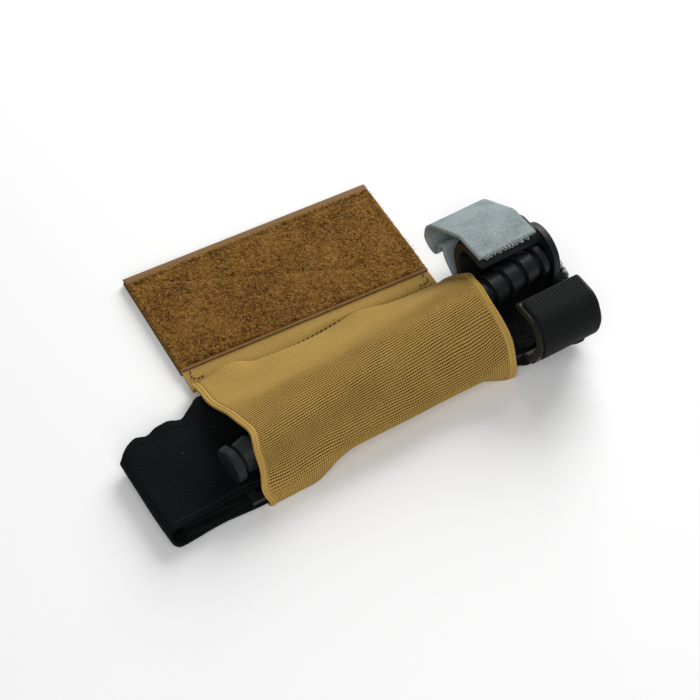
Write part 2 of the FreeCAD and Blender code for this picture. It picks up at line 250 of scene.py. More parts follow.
def thread_piece(name, runs, radius, material, body):
    """Many short runs of thread as one piece."""
    verts = []
    faces = []
    for run in runs:
        more, quads = tube_along(run, lambda share: radius * (0.45 + 0.55 * math.sin(math.pi * share)))
        start = len(verts)
        verts.extend(more)
        faces.extend(tuple(start + k for k in quad) for quad in quads)
    return new_piece(name, verts, faces, [(v.x / MM, v.y / MM) for v in verts], material, body)


def stitches(start, end, pitch, length, lift):
    """Short arched runs of thread along a line between two points."""
    total = (end - start).length
    ahead = (end - start) / total
    count = max(int(total / pitch), 1)
    runs = []
    for index in range(count):
        middle = start + ahead * (pitch * (index + 0.5))
        half = ahead * (length / 2)
        up = Vector((0, 0, lift))
        runs.append([middle - half, middle - half * 0.6 + up, middle + up * 1.3,
                     middle + half * 0.6 + up, middle + half])
    return runs


FIBRE_STEPS = 4


def fibres(name, roots, length, width, material, body, curl):
    """Loose curled fibres, as narrow ribbons, that stand on roots: (point, normal) pairs."""
    verts = []
    faces = []
    for point, normal in roots:
        lean = Vector((chance.uniform(-1, 1), chance.uniform(-1, 1), chance.uniform(-1, 1)))
        lean = lean - normal * lean.dot(normal)
        if lean.length < 0.01:
            continue
        lean.normalize()
        tall = length * chance.uniform(0.5, 1.2)
        side = normal.cross(lean).normalized() * (width / 2)
        twist = chance.uniform(-1, 1)
        for step in range(FIBRE_STEPS + 1):
            share = step / FIBRE_STEPS
            rise = math.sin(share * math.pi * 0.75) * tall * 0.75
            reach = (share ** 1.5) * tall * curl * 1.6
            bend = math.sin(share * math.pi) * twist * tall * 0.35
            spot = point + normal * rise + lean * reach + side.normalized() * bend
            verts.append(spot - side)
            verts.append(spot + side)
        base = len(verts) - 2 * (FIBRE_STEPS + 1)
        for step in range(FIBRE_STEPS):
            a = base + 2 * step
            faces.append((a, a + 1, a + 3, a + 2))
    return new_piece(name, verts, faces, [(v.x / MM, v.y / MM) for v in verts], material, body)


# ---- materials ----

class Nodes:
    """A short way to write a material's node tree."""

    def __init__(self, name):
        self.material = bpy.data.materials.new(name)
        self.material.use_nodes = True
        self.tree = self.material.node_tree
        self.shader = self.tree.nodes["Principled BSDF"]

    def node(self, kind, **settings):
        made = self.tree.nodes.new(kind)
        for key, value in settings.items():
            setattr(made, key, value)
        return made

    def put(self, value, socket):
        if isinstance(value, bpy.types.NodeSocket):
            self.tree.links.new(value, socket)
        else:
            socket.default_value = value

    def math(self, operation, first, second=0.0, third=0.0):
        made = self.node("ShaderNodeMath", operation=operation)
        for value, socket in zip((first, second, third), made.inputs):
            self.put(value, socket)
        return made.outputs[0]

    def cloth(self):
        """The UV map's two millimetre coordinates."""
        split = self.node("ShaderNodeSeparateXYZ")
        uv = self.node("ShaderNodeUVMap", uv_map="cloth")
        self.tree.links.new(uv.outputs[0], split.inputs[0])
        return split.outputs[0], split.outputs[1]

    def space(self):
        """Object coordinates in metres."""
        return self.node("ShaderNodeTexCoord").outputs["Object"]

    def noise(self, where, scale, detail=3.0, rough=0.5):
        made = self.node("ShaderNodeTexNoise")
        self.put(where, made.inputs["Vector"])
        made.inputs["Scale"].default_value = scale
        made.inputs["Detail"].default_value = detail
        made.inputs["Roughness"].default_value = rough
        return made.outputs[0]

    def wave(self, along, pitch):
        """A sine from 0 to 1 with a pitch in the coordinate's own units."""
        turn = self.math("MULTIPLY", along, 2 * math.pi / pitch)
        return self.math("MULTIPLY_ADD", self.math("SINE", turn), 0.5, 0.5)

    def ramp(self, share, *stops):
        made = self.node("ShaderNodeValToRGB")
        self.put(share, made.inputs[0])
        elements = made.color_ramp.elements
        while len(elements) < len(stops):
            elements.new(0.5)
        for element, (place, colour) in zip(elements, stops):
            element.position = place
            element.color = (*colour, 1)
        return made.outputs[0]

    def blend(self, share, first, second):
        made = self.node("ShaderNodeMix", data_type="RGBA")
        self.put(share, made.inputs[0])
        self.put(first if isinstance(first, bpy.types.NodeSocket) else (*first, 1), made.inputs[6])
        self.put(second if isinstance(second, bpy.types.NodeSocket) else (*second, 1), made.inputs[7])
        return made.outputs[2]

    def finish(self, colour, rough, height=None, depth=0.0002, strength=0.8, sheen=0.0, gloss=0.5):
        self.put(colour, self.shader.inputs["Base Color"])
        self.put(rough, self.shader.inputs["Roughness"])
        self.shader.inputs["Specular IOR Level"].default_value = gloss
        if sheen:
            self.shader.inputs["Sheen Weight"].default_value = sheen
            self.shader.inputs["Sheen Roughness"].default_value = 0.5
        if height is not None:
            relief = self.node("ShaderNodeBump")
            relief.inputs["Strength"].default_value = strength
            relief.inputs["Distance"].default_value = depth
            self.put(height, relief.inputs["Height"])
            self.tree.links.new(relief.outputs[0], self.shader.inputs["Normal"])
        return self.material


def srgb(red, green, blue):
    """A colour given as 0 to 255 screen values, as the linear values that shaders take."""
    def linear(value):
        value /= 255
        return value / 12.92 if value <= 0.04045 else ((value + 0.055) / 1.055) ** 2.4
    return tuple(linear(value) for value in (red, green, blue))


def elastic_material(name, stretched):
    """Coyote elastic, its threads standing apart where it is stretched over the rod, with painted shade in
    the gaps between the threads and in the grooves between the ribs.
    """
    pitch = 0.92
    n = Nodes(name)
    u, v = n.cloth()
    sway = n.math("MULTIPLY", n.noise(n.space(), 90, 1.0), 1.4)
    warp = n.wave(n.math("ADD", u, n.math("MULTIPLY", sway, 0.25)), pitch)
    weft = n.wave(n.math("ADD", v, sway), pitch)
    fine = n.noise(n.space(), 2400, 3.0, 0.6)
    broad = n.noise(n.space(), 40, 3.0)
    patches = n.noise(n.space(), 110, 2.0)
    if stretched:
        # u runs along the sleeve and v round it, from the seam over the rod and down the near side
        edge = n.math("SUBTRACT", SLEEVE_HALF, n.math("ABSOLUTE", u))
        inside = smooth_step(n, edge, 2.2, 3.4)
        front = smooth_step(n, v, 24, 42)
        under = smooth_step(n, v, 76, 69)
        apart = n.math("MULTIPLY", n.math("MULTIPLY", front, under), inside)
        apart = n.math("MULTIPLY", apart, n.math("MULTIPLY_ADD", patches, 0.8, 0.6))
        closed = 0.10
        rib_groove_shade = n.math("MULTIPLY_ADD", n.math("SUBTRACT", 1.0, under), 0.34, 0.22)
        light, shade = srgb(197, 162, 90), srgb(171, 138, 71)
    else:
        inside = 1.0
        apart = 0.0
        closed = 0.04
        rib_groove_shade = 0.22
        light, shade = srgb(186, 153, 86), srgb(161, 129, 67)
    # Painted shade: the gaps between the threads and the grooves between the warp ribs are coloured dark, the
    # rib grooves most where the sleeve turns under.
    between_wefts = n.math("POWER", n.math("SUBTRACT", 1.0, weft), 2.0)
    between_warps = n.math("POWER", n.math("SUBTRACT", 1.0, warp), 1.6)
    gap = n.math("MULTIPLY", between_wefts, n.math("MULTIPLY_ADD", between_warps, 0.45, 0.55))
    gap = n.math("MULTIPLY", gap, n.math("MULTIPLY_ADD", apart, 1.0, closed))
    rib = n.math("MULTIPLY", n.math("MULTIPLY", between_warps, rib_groove_shade), inside)
    dark = n.math("ADD", gap, rib)
    dark = n.math("ADD", dark, n.math("MULTIPLY", n.math("SUBTRACT", fine, 0.5), 1.0))
    body = n.blend(broad, light, shade)
    body = n.blend(n.math("MULTIPLY", apart, 0.8), body, srgb(194, 157, 82))
    # srgb(50, 32, 7) is the painted shade colour of the thread gaps and rib grooves.
    colour = n.blend(n.math("MULTIPLY", dark, 1.05), body, srgb(50, 32, 7))
    height = n.math("MULTIPLY", n.math("MULTIPLY", warp, inside), 0.35)
    height = n.math("SUBTRACT", height, n.math("MULTIPLY", gap, 1.5))
    height = n.math("ADD", height, n.math("MULTIPLY", fine, 0.35))
    return n.finish(colour, 0.9, height, 0.00030, 0.9, gloss=0.1)


def smooth_step(n, value, low, high):
    """A map range node with an easy curve, from 0 at low to 1 at high."""
    made = n.node("ShaderNodeMapRange", interpolation_type="SMOOTHSTEP")
    n.put(value, made.inputs[0])
    made.inputs[1].default_value = low
    made.inputs[2].default_value = high
    return made.outputs[0]


def pile_material(name, light, middle, dark):
    """Loop pile: clumped, mottled fibres."""
    n = Nodes(name)
    where = n.space()
    fuzz = n.noise(where, 2400, 4.0, 0.7)
    clump = n.noise(where, 620, 4.0, 0.6)
    broad = n.noise(where, 70, 2.0)
    share = n.math("MULTIPLY_ADD", clump, 0.4, n.math("MULTIPLY", broad, 0.2))
    share = n.math("MULTIPLY_ADD", fuzz, 0.45, share)
    colour = n.ramp(share, (0.44, dark), (0.53, middle), (0.63, light))
    height = n.math("MULTIPLY_ADD", fuzz, 0.7, clump)
    return n.finish(colour, 0.95, height, 0.0006, 0.9, gloss=0.1)


def fibre_material(name, light, dark):
    """The loose fibres on a pile: each a little lighter or darker along its length."""
    n = Nodes(name)
    share = smooth_step(n, n.noise(n.space(), 1500, 2.0), 0.34, 0.66)
    return n.finish(n.blend(share, dark, light), 0.8, gloss=0.15)


def webbing_material(name):
    """Black webbing with fine ribs across it, with a painted highlight on the rib crests and painted shade in
    the grooves between them.
    """
    n = Nodes(name)
    u, v = n.cloth()
    rib = n.wave(u, 0.85)
    weave = n.wave(v, 0.7)
    fine = n.noise(n.space(), 3000, 2.0)
    height = n.math("ADD", rib, n.math("MULTIPLY", weave, 0.3))
    height = n.math("ADD", height, n.math("MULTIPLY", fine, 0.4))
    lint = smooth_step(n, n.noise(n.space(), 700, 0.0), 0.88, 0.91)
    # Painted highlight on the rib crests and painted shade in the grooves: the colour follows the rib wave of
    # the bump.
    colour = n.blend(rib, srgb(7, 8, 9), srgb(20, 22, 23))
    colour = n.blend(n.math("MULTIPLY", lint, 0.25), colour, srgb(110, 112, 114))
    return n.finish(colour, 0.85, height, 0.00022, 0.8, gloss=0.08)


def hook_material(name, light, dark):
    """Hook tape: columns of small stiff hooks on a woven ground."""
    n = Nodes(name)
    u, v = n.cloth()
    spot = n.math("MULTIPLY", n.wave(u, 1.15), n.wave(v, 0.95))
    fine = n.noise(n.space(), 2500, 2.0)
    colour = n.blend(spot, dark, light)
    height = n.math("MULTIPLY_ADD", fine, 0.5, spot)
    return n.finish(colour, 0.7, height, 0.0004, 0.9, gloss=0.12)


def felt_material(name):
    """The grey time strap: brushed, fine-grained and a little uneven."""
    n = Nodes(name)
    where = n.space()
    grain = n.noise(where, 1400, 5.0, 0.75)
    broad = n.noise(where, 120, 3.0)
    share = n.math("MULTIPLY_ADD", grain, 0.7, n.math("MULTIPLY", broad, 0.3))
    dark, middle, light = srgb(113, 122, 124), srgb(139, 150, 152), srgb(160, 170, 171)
    colour = n.ramp(share, (0.36, dark), (0.5, middle), (0.64, light))
    return n.finish(colour, 0.92, grain, 0.0002, 0.6, gloss=0.2)


def plain_cloth_material(name, light, dark):
    """Smooth woven tape."""
    n = Nodes(name)
    grain = n.noise(n.space(), 2200, 4.0, 0.7)
    return n.finish(n.blend(grain, dark, light), 0.85, grain, 0.0002, 0.6)


def thread_material(name, light, dark):
    """Sewing thread, light and dark with its twist."""
    n = Nodes(name)
    u, v = n.cloth()
    ply = n.wave(n.math("ADD", u, v), 0.35)
    return n.finish(n.blend(ply, dark, light), 0.85, ply, 0.0001, 0.6, gloss=0.1)


def plastic_material(name):
    """Moulded black plastic with a fine spark-eroded grain and paler rubbed patches."""
    n = Nodes(name)
    where = n.space()
    grain = n.noise(where, 1800, 3.0, 0.6)
    rubbed = n.noise(where, 90, 4.0, 0.6)
    colour = n.ramp(rubbed, (0.35, srgb(16, 18, 20)), (0.75, srgb(30, 33, 35)))
    rough = n.math("MULTIPLY_ADD", rubbed, 0.25, 0.36)
    return n.finish(colour, rough, grain, 0.00008, 0.5, gloss=0.3)


SLEEVE_LOOK = elastic_material("coyote_elastic_stretched", True)
STRIP_LOOK = elastic_material("coyote_elastic_flat", False)
PILE_LOOK = pile_material("coyote_loop_pile", srgb(166, 122, 58), srgb(116, 78, 30), srgb(62, 37, 9))
PILE_FIBRE = fibre_material("coyote_loop_fibre", srgb(190, 144, 74), srgb(70, 43, 12))
TAPE_LOOK = plain_cloth_material("coyote_tape_edge", srgb(146, 112, 66), srgb(104, 74, 38))
HOOK_LOOK = hook_material("coyote_hook", srgb(132, 102, 62), srgb(84, 60, 32))
THREAD_LOOK = thread_material("brown_thread", srgb(88, 56, 22), srgb(44, 27, 9))
BAND_LOOK = webbing_material("black_webbing")
BLACK_PILE = pile_material("black_loop_pile", srgb(34, 34, 35), srgb(17, 17, 18), srgb(6, 6, 7))
BLACK_FIBRE = fibre_material("black_loop_fibre", srgb(24, 24, 26), srgb(9, 9, 10))
BLACK_HOOK = hook_material("black_hook", srgb(38, 40, 40), srgb(9, 10, 10))
GREY_THREAD = thread_material("grey_thread", srgb(72, 75, 75), srgb(38, 40, 41))
WHITE_THREAD = thread_material("white_thread", srgb(205, 208, 208), srgb(150, 154, 154))
STRAP_LOOK = felt_material("grey_felt")
PLASTIC = plastic_material("black_plastic")

# ---- camera, light and floor ----

CAMERA_AZIMUTH = math.radians(-32.34)
CAMERA_ELEVATION = math.radians(50.87)
CAMERA_DISTANCE = 0.80373
CAMERA_TARGET = Vector((0.00471, -0.04347, 0.0))
CAMERA_LENS = 113.14
SENSOR_WIDTH = 36.0

LIGHT_TARGET = (0.0, -0.05, 0.0)
KEY_PLACE = (0.64, 0.42, 0.52)
KEY_WIDTH = 0.72
KEY_WATTS = 10.8
FILL_PLACE = (-0.40, -0.70, 0.68)
FILL_WIDTH = 0.9
FILL_WATTS = 6.2
STUDIO_GLOW = 0.15
FLOOR_HALF = 3.0
FLOOR_GREY = 0.92
FLOOR_GLOW = 0.05


def make_camera():
    back = Vector((math.sin(CAMERA_AZIMUTH) * math.cos(CAMERA_ELEVATION),
                   -math.cos(CAMERA_AZIMUTH) * math.cos(CAMERA_ELEVATION),
                   math.sin(CAMERA_ELEVATION)))
    data = bpy.data.cameras.new("Camera")
    data.lens = CAMERA_LENS
    data.sensor_width = SENSOR_WIDTH
    camera = bpy.data.objects.new("Camera", data)
    camera.location = CAMERA_TARGET + back * CAMERA_DISTANCE
    camera.rotation_euler = (-back).to_track_quat("-Z", "Y").to_euler()
    bpy.context.scene.collection.objects.link(camera)
    bpy.context.scene.camera = camera


def add_area_light(name, place, width, watts):
    data = bpy.data.lights.new(name, "AREA")
    data.size = width
    data.energy = watts
    light = bpy.data.objects.new(name, data)
    light.location = place
    light.rotation_euler = (Vector(LIGHT_TARGET) - Vector(place)).to_track_quat("-Z", "Y").to_euler()
    bpy.context.scene.collection.objects.link(light)


def make_light():
    add_area_light("key", KEY_PLACE, KEY_WIDTH, KEY_WATTS)
    add_area_light("fill", FILL_PLACE, FILL_WIDTH, FILL_WATTS)
    world = bpy.data.worlds.new("studio")
    bpy.context.scene.world = world
    world.use_nodes = True
    background = world.node_tree.nodes["Background"]
    background.inputs["Color"].default_value = (1, 1, 1, 1)
    background.inputs["Strength"].default_value = STUDIO_GLOW
    bpy.context.scene.view_settings.view_transform = "Standard"


def make_floor():
    half = FLOOR_HALF
    n = Nodes("white_floor")
    n.shader.inputs["Base Color"].default_value = (FLOOR_GREY, FLOOR_GREY, FLOOR_GREY, 1)
    n.shader.inputs["Roughness"].default_value = 0.9
    n.shader.inputs["Emission Color"].default_value = (1, 1, 1, 1)
    n.shader.inputs["Emission Strength"].default_value = FLOOR_GLOW
    corners = [(-half, -half, 0), (half, -half, 0), (half, half, 0), (-half, half, 0)]
    floor = new_piece("floor", [Vector(c) for c in corners], [(0, 1, 2, 3)], [(0, 0)] * 4, n.material, None)


# ---- the sleeve ----

# The mouths, from the seam over the rod, down and back under to the seam: (across, height) in mm.
LEFT_MOUTH = [(-33.6, 2.3), (-33.8, 4.4), (-37.0, 7.2), (-44.5, 10.4), (-52.5, 14.8), (-60.5, 19.2),
              (-67.0, 22.4), (-73.0, 24.2), (-78.6, 24.8), (-84.0, 22.6), (-88.0, 18.0), (-90.6, 11.6),
              (-92.2, 5.4), (-91.6, 1.0), (-85.0, 0.05), (-60.0, 0.05), (-32.4, 0.05)]
RIGHT_MOUTH = [(-33.4, 2.3), (-34.6, 4.8), (-37.4, 9.2), (-42.0, 15.4), (-46.4, 20.8), (-50.6, 25.4),
               (-55.0, 29.0), (-60.4, 31.2), (-65.6, 30.6), (-71.0, 27.8), (-78.4, 23.0), (-83.4, 18.0),
               (-85.5, 11.0), (-85.2, 1.0), (-80.0, 0.05), (-58.0, 0.05), (-32.4, 0.05)]

# How the near side turns in below the plate: (distance inside the plate's edge, height) by outline point.
UNDERCUT = {10: (2.6, 18.0), 11: (-1.4, 13.2), 12: (-1.6, 8.6), 13: (3.4, 2.8), 14: (8.0, 0.05)}
SEAM_POINTS = 5         # this many outline points follow the seam where it wanders

# Where the flap pulls at the seam: (how far, where along it, over what width).
SEAM_PULLS = [(2.2, 14, 13), (-0.5, -16, 12), (0.9, 48, 16)]

# Dents and folds: (height, place along the sleeve, its width, place round the sleeve, its width).
DENTS = [(1.2, -40, 9, 0.70, 0.07), (-1.6, -10, 11, 0.58, 0.05), (0.5, 8, 9, 0.66, 0.05),
         (-0.7, 28, 10, 0.62, 0.06), (-0.9, 2, 12, 0.10, 0.05), (1.1, 17, 8, 0.07, 0.04)]

# Long folds beside the rod: (height, place round the sleeve, width, full from, full up to).
LONG_FOLDS = [(0.8, 0.41, 0.035, -30, 20), (-1.1, 0.32, 0.045, -25, 10)]
LONG_FOLD_SLOPE = 0.0016

# The two woven cords along a mouth and the groove behind them: (height, distance from the edge, width).
MOUTH_CORDS = [(0.50, 0.55, 0.42), (0.42, 1.75, 0.42), (-0.25, 2.6, 0.5)]

UNDERSIDE = 0.80        # the place round the sleeve from which it lies on the ground

PLATE_CORNER = HOLDER.inverted() @ Vector((0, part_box("stabilization_plate")[0].y, 0)) / MM
PLATE_SLOPE = -FOLD_AXIS.y / FOLD_AXIS.x


def plate_edge(along):
    """Where the plate's near edge is, in the holder's axes."""
    return PLATE_CORNER.y + (along - PLATE_CORNER.x) * PLATE_SLOPE


def seam_shift(along):
    """How far the seam wanders from its straight line, in mm: it is pulled towards the flap in places."""
    return bumps(along, SEAM_PULLS)


def sleeve_outline(along):
    """The sleeve's control points at a place along it, from the left mouth's to the right mouth's."""
    share = (along + SLEEVE_HALF) / (2 * SLEEVE_HALF)
    points = []
    bulge = smooth(-24, -34, along)
    for index, (left, right) in enumerate(zip(LEFT_MOUTH, RIGHT_MOUTH)):
        across = mix(left[0], right[0], share)
        height = mix(left[1], right[1], share)
        if index < SEAM_POINTS:
            across += seam_shift(along) * (1 - index / SEAM_POINTS)
        if index in UNDERCUT:
            # past the rod's end the fabric turns in under the plate
            inward, level = UNDERCUT[index]
            tucked = smooth(-33, -13, along) * (1 - 0.75 * smooth(36, SLEEVE_HALF, along))
            across = mix(across, plate_edge(along) + inward, tucked)
            height = mix(height, level, tucked)
        if index in (1, 2):
            # towards the left mouth the fabric stands in a fold over the seam
            across += bulge * (1.5, 2.4)[index - 1] * bump(along, -37, 9)
            height += bulge * 1.4 * bump(along, -37, 8)
        points.append((across, height))
    return points


def sleeve_dents(along, turn):
    """How far the stretched fabric stands out or in, in mm: soft folds and the dented near side."""
    out = sum(height * bump(along, place, length) * bump(turn, around, width)
              for height, place, length, around, width in DENTS)
    for height, around, width, low, high in LONG_FOLDS:
        fold = bump(turn, around + along * LONG_FOLD_SLOPE, width)
        out += height * fold * smooth(-SLEEVE_HALF, low, along) * smooth(50, high, along)
    return out + 0.35 * math.sin(along * 0.21 + turn * 17) * bump(turn, 0.5, 0.2)


def selvedge(distance):
    """The height of the two woven cords along a mouth, at a distance from the edge, all in mm."""
    return bumps(distance, MOUTH_CORDS)


def drawn_in(turn, along):
    """How far a mouth's edge is drawn in towards +X, in mm: most over the rod and where it lies down."""
    left = 0.6 + 2.9 * bump(turn, 0.47, 0.10)
    left += 2.2 * smooth(0.68, 0.78, turn) + 3.0 * smooth(0.88, 0.95, turn)
    inward = left * smooth(0.0, 0.14, turn) * smooth(-28, -SLEEVE_HALF, along)
    inward += 1.7 * smooth(0.12, 0.02, turn) * smooth(-44, -SLEEVE_HALF, along)
    return inward - 2.3 * bump(turn, 0.48, 0.15) * smooth(30, SLEEVE_HALF, along)


def sleeve_point(turn, along):
    """A point of the sleeve's outer face, from a place round it (0 to 1) and a place along it in mm."""
    across, height = spline(sleeve_outline(along), turn)
    eps = 0.004
    ahead = spline(sleeve_outline(along), min(turn + eps, 1.0))
    behind = spline(sleeve_outline(along), max(turn - eps, 0.0))
    tangent = Vector((ahead[0] - behind[0], ahead[1] - behind[1])).normalized()
    normal = Vector((tangent.y, -tangent.x))
    out = sleeve_dents(along, turn) * smooth(0.0, 0.06, turn) * smooth(UNDERSIDE, 0.74, turn)
    if turn < UNDERSIDE:
        out += selvedge(SLEEVE_HALF - abs(along))
    across += normal.x * out
    height += normal.y * out
    wave = 0.35 * math.sin(turn * 23) + 0.25 * math.sin(turn * 41 + 1)
    shift = wave * smooth(SLEEVE_HALF - 14, SLEEVE_HALF, abs(along))
    return holder_at(along + shift + drawn_in(turn, along), across, max(height, 0.04))


def make_sleeve():
    turns = spread(181)
    places = edge_crowded(-SLEEVE_HALF, SLEEVE_HALF, 3.6, 0.2, 1.3)
    around = 0.0
    length = [0.0]
    for low, high in zip(turns, turns[1:]):
        around += (sleeve_point(high, 0.0) - sleeve_point(low, 0.0)).length / MM
        length.append(around)
    reached = dict(zip(turns, length))
    verts, faces, uvs = shell(turns, places, sleeve_point, lambda t, a: (a, reached[t]),
                              SLEEVE_THICK * MM)
    piece = new_piece("sleeve_fabric", verts, faces, uvs, SLEEVE_LOOK, None)
    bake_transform(piece)
    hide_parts("holder_sleeve")
    return piece


# ---- the flap ----

STRIP_LOW = 1.0
STRIP_TOP = 2.4
PANEL_TOP = 4.0


STRIP_PUCKERS = [(0.9, 2, 14), (0.5, 33, 9), (0.5, -34, 10)]


def strip_lift(x, y):
    """The puckers of the elastic strip where the sleeve's seam pulls at it, in mm."""
    near_seam = smooth(-PANEL_HALF, SEAM_Y + 4, y)
    puckers = bumps(x, STRIP_PUCKERS)
    dip = -0.5 * bump(y, SEAM_Y, 1.5)
    return near_seam * puckers * bump(y, SEAM_Y + 4, 3.4) + dip


def make_flap_elastic():
    def point(y, x):
        edge = min(x - FLAP_LEFT, FLAP_RIGHT - x)
        sag = 0.35 * selvedge(max(edge, 0) * 1.2)
        shift = seam_shift(x) * smooth(-PANEL_HALF - 3, SEAM_Y, y)
        return holder_at(x, y + shift, STRIP_TOP - 0.05 + strip_lift(x, y) + sag)

    rows = spread(26, SEAM_Y - 0.6, -PANEL_HALF + 1) + spread(24, -PANEL_HALF + 2, PANEL_HALF - 0.2)
    columns = edge_crowded(FLAP_LEFT, FLAP_RIGHT, 3.0, 0.25, 1.5)
    verts, faces, uvs = shell(rows[::-1], columns, point, lambda y, x: (x, y), 1.2 * MM)
    piece = new_piece("flap_strip_fabric", verts, faces, uvs, STRIP_LOOK, None)
    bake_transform(piece)
    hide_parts("flap_elastic")
    return piece


SELVEDGE_TOP = 3.0
SELVEDGE_LOW = 1.3
PILE_TALL = 1.25
PANEL_FIBRES = 12000


def pile_height(x, y):
    """The loop pile's top above the panel's ground, in mm: fuzzy, lower along the sewn X and its frame."""
    inset_top = PANEL_HALF - y
    inset_low = y + PANEL_HALF
    side = min(x - FLAP_LEFT, FLAP_RIGHT - x)
    full = smooth(SELVEDGE_TOP - 0.6, SELVEDGE_TOP + 0.6, inset_top)
    full *= smooth(SELVEDGE_LOW - 0.6, SELVEDGE_LOW + 0.5, inset_low)
    full *= smooth(-0.6, 1.2, side)
    width = FLAP_RIGHT - FLAP_LEFT - 8
    middle = (FLAP_LEFT + FLAP_RIGHT) / 2
    slope = (2 * PANEL_HALF - 10) / width
    cross = min(abs(y - (x - middle) * slope), abs(y + (x - middle) * slope))
    frame_gap = min(abs(inset_top - 5.0), abs(inset_low - 4.5), abs(side - 3.5))
    grooves = 0.65 * math.exp(-(cross / 1.3) ** 2) + 0.42 * math.exp(-(frame_gap / 1.0) ** 2)
    lumps = 0.22 * math.sin(x * 1.7 + 3 * math.sin(y * 0.9)) * math.sin(y * 1.9 + 2 * math.sin(x * 0.7))
    return full * (PILE_TALL - grooves + lumps)


def make_loop_panel():
    ground = STRIP_TOP + 0.35

    def point(y, x):
        return holder_at(x, y, ground + max(pile_height(x, y), 0.0) + chance.uniform(-0.10, 0.10))

    rows = spread(126, PANEL_HALF, -PANEL_HALF)
    columns = spread(236, FLAP_LEFT, FLAP_RIGHT)
    verts, faces, uvs = shell(rows, columns, point, lambda y, x: (x, y), 0.3 * MM)
    piece = new_piece("loop_panel_pile", verts, faces, uvs, PILE_LOOK, "flap")
    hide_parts("loop_panel")
    roots = []
    while len(roots) < PANEL_FIBRES:
        x = chance.uniform(FLAP_LEFT + 0.4, FLAP_RIGHT - 0.4)
        y = chance.uniform(-PANEL_HALF + SELVEDGE_LOW, PANEL_HALF - SELVEDGE_TOP)
        roots.append((holder_at(x, y, ground + pile_height(x, y) - 0.1), Vector((0, 0, 1))))
    fuzz = fibres("loop_panel_fibres", roots, 0.85 * MM, 0.13 * MM, PILE_FIBRE, "flap", 0.9)
    return piece


def make_tape_edges():
    """The smooth woven selvedges along the loop panel's two long sides."""
    for name, low, high in (("panel_edge_far", PANEL_HALF - SELVEDGE_TOP, PANEL_HALF),
                            ("panel_edge_near", -PANEL_HALF, -PANEL_HALF + SELVEDGE_LOW)):
        def point(y, x):
            crown = 0.15 * math.sin(math.pi * (y - low) / (high - low))
            return holder_at(x, y, STRIP_TOP + 0.65 + crown)

        verts, faces, uvs = shell(spread(9, high, low), spread(104, FLAP_LEFT, FLAP_RIGHT), point,
                                  lambda y, x: (x, y), 0.6 * MM)
        piece = new_piece(name, verts, faces, uvs, TAPE_LOOK, "flap")


HOOK_PITCH = 1.6
HOOK_ROWS = 30
HOOK_COLUMNS = 62


def make_hook_panel():
    def point(y, x):
        return holder_at(x, y, STRIP_LOW)

    verts, faces, uvs = shell(spread(52, PANEL_HALF, -PANEL_HALF), spread(104, FLAP_LEFT, FLAP_RIGHT), point,
                              lambda y, x: (x, y), lambda y, x: (0.55 + 0.1 * math.sin(x * 2)) * MM)
    piece = new_piece("hook_panel_tape", verts, faces, uvs, HOOK_LOOK, "flap")
    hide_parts("hook_panel")
    hooks = []
    for row in range(HOOK_ROWS):
        for column in range(HOOK_COLUMNS):
            x = FLAP_LEFT + 2 + column * HOOK_PITCH
            y = -PANEL_HALF + 1.8 + row * HOOK_PITCH
            foot = holder_at(x, y, 0.55)
            hooks.append([foot, foot + Vector((0, 0, -0.4 * MM)), foot + Vector((0.3 * MM, 0, -0.5 * MM)),
                          foot + Vector((0.45 * MM, 0, -0.25 * MM))])
    teeth = thread_piece("hook_panel_hooks", hooks, 0.12 * MM, HOOK_LOOK, "flap")


def stitch_panel():
    """The two rows of thread along the loop panel's long sides."""
    runs = []
    margin = 1.8
    height = PANEL_TOP - 0.45
    for y in (PANEL_HALF - 4.4, -PANEL_HALF + 3.8):
        start = holder_at(FLAP_LEFT + margin, y, height)
        end = holder_at(FLAP_RIGHT - margin, y, height)
        runs.extend(stitches(start, end, 2.6 * MM, 1.9 * MM, 0.10 * MM))
    piece = thread_piece("loop_panel_thread", runs, 0.22 * MM, THREAD_LOOK, "flap")
    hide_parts("loop_panel_stitching")


def stitch_flap_corners():
    """The bent row of thread at each end of the elastic strip."""
    runs = []
    inset = 2.4
    reach = 4.5
    low = SEAM_Y + 3.0
    high = -PANEL_HALF - 1.0
    height = STRIP_TOP + 0.25
    for x, inward in ((FLAP_LEFT + inset, 1), (FLAP_RIGHT - inset, -1)):
        corners = [(x + inward * reach * 0.2, high), (x, high - 2), (x, low + 1),
                   (x + inward * 1.4, low), (x + inward * reach, low + 0.2)]
        for first, last in zip(corners, corners[1:]):
            start = holder_at(*first, height)
            end = holder_at(*last, height)
            runs.extend(stitches(start, end, 1.5 * MM, 1.2 * MM, 0.15 * MM))
    piece = thread_piece("flap_corner_thread", runs, 0.25 * MM, THREAD_LOOK, "flap")
    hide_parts("flap_box_stitches")


def stitch_seam():
    """Slanted stitches along the seam that closes the sleeve."""
    runs = []
    margin = 3.0
    pitch = 2.0
    slant = 0.35
    x = FLAP_LEFT + margin
    while x < FLAP_RIGHT - margin:
        y = SEAM_Y + 0.75 + seam_shift(x)
        z = STRIP_TOP + strip_lift(x, SEAM_Y + 0.75)
        runs.append([holder_at(x, y - slant, z - 0.1), holder_at(x + 0.7, y, z + 0.35),
                     holder_at(x + 1.4, y + slant, z - 0.1)])
        x += pitch
    piece = thread_piece("seam_thread", runs, 0.30 * MM, THREAD_LOOK, "flap")
    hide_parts("seam_stitching")


# ---- the band ----

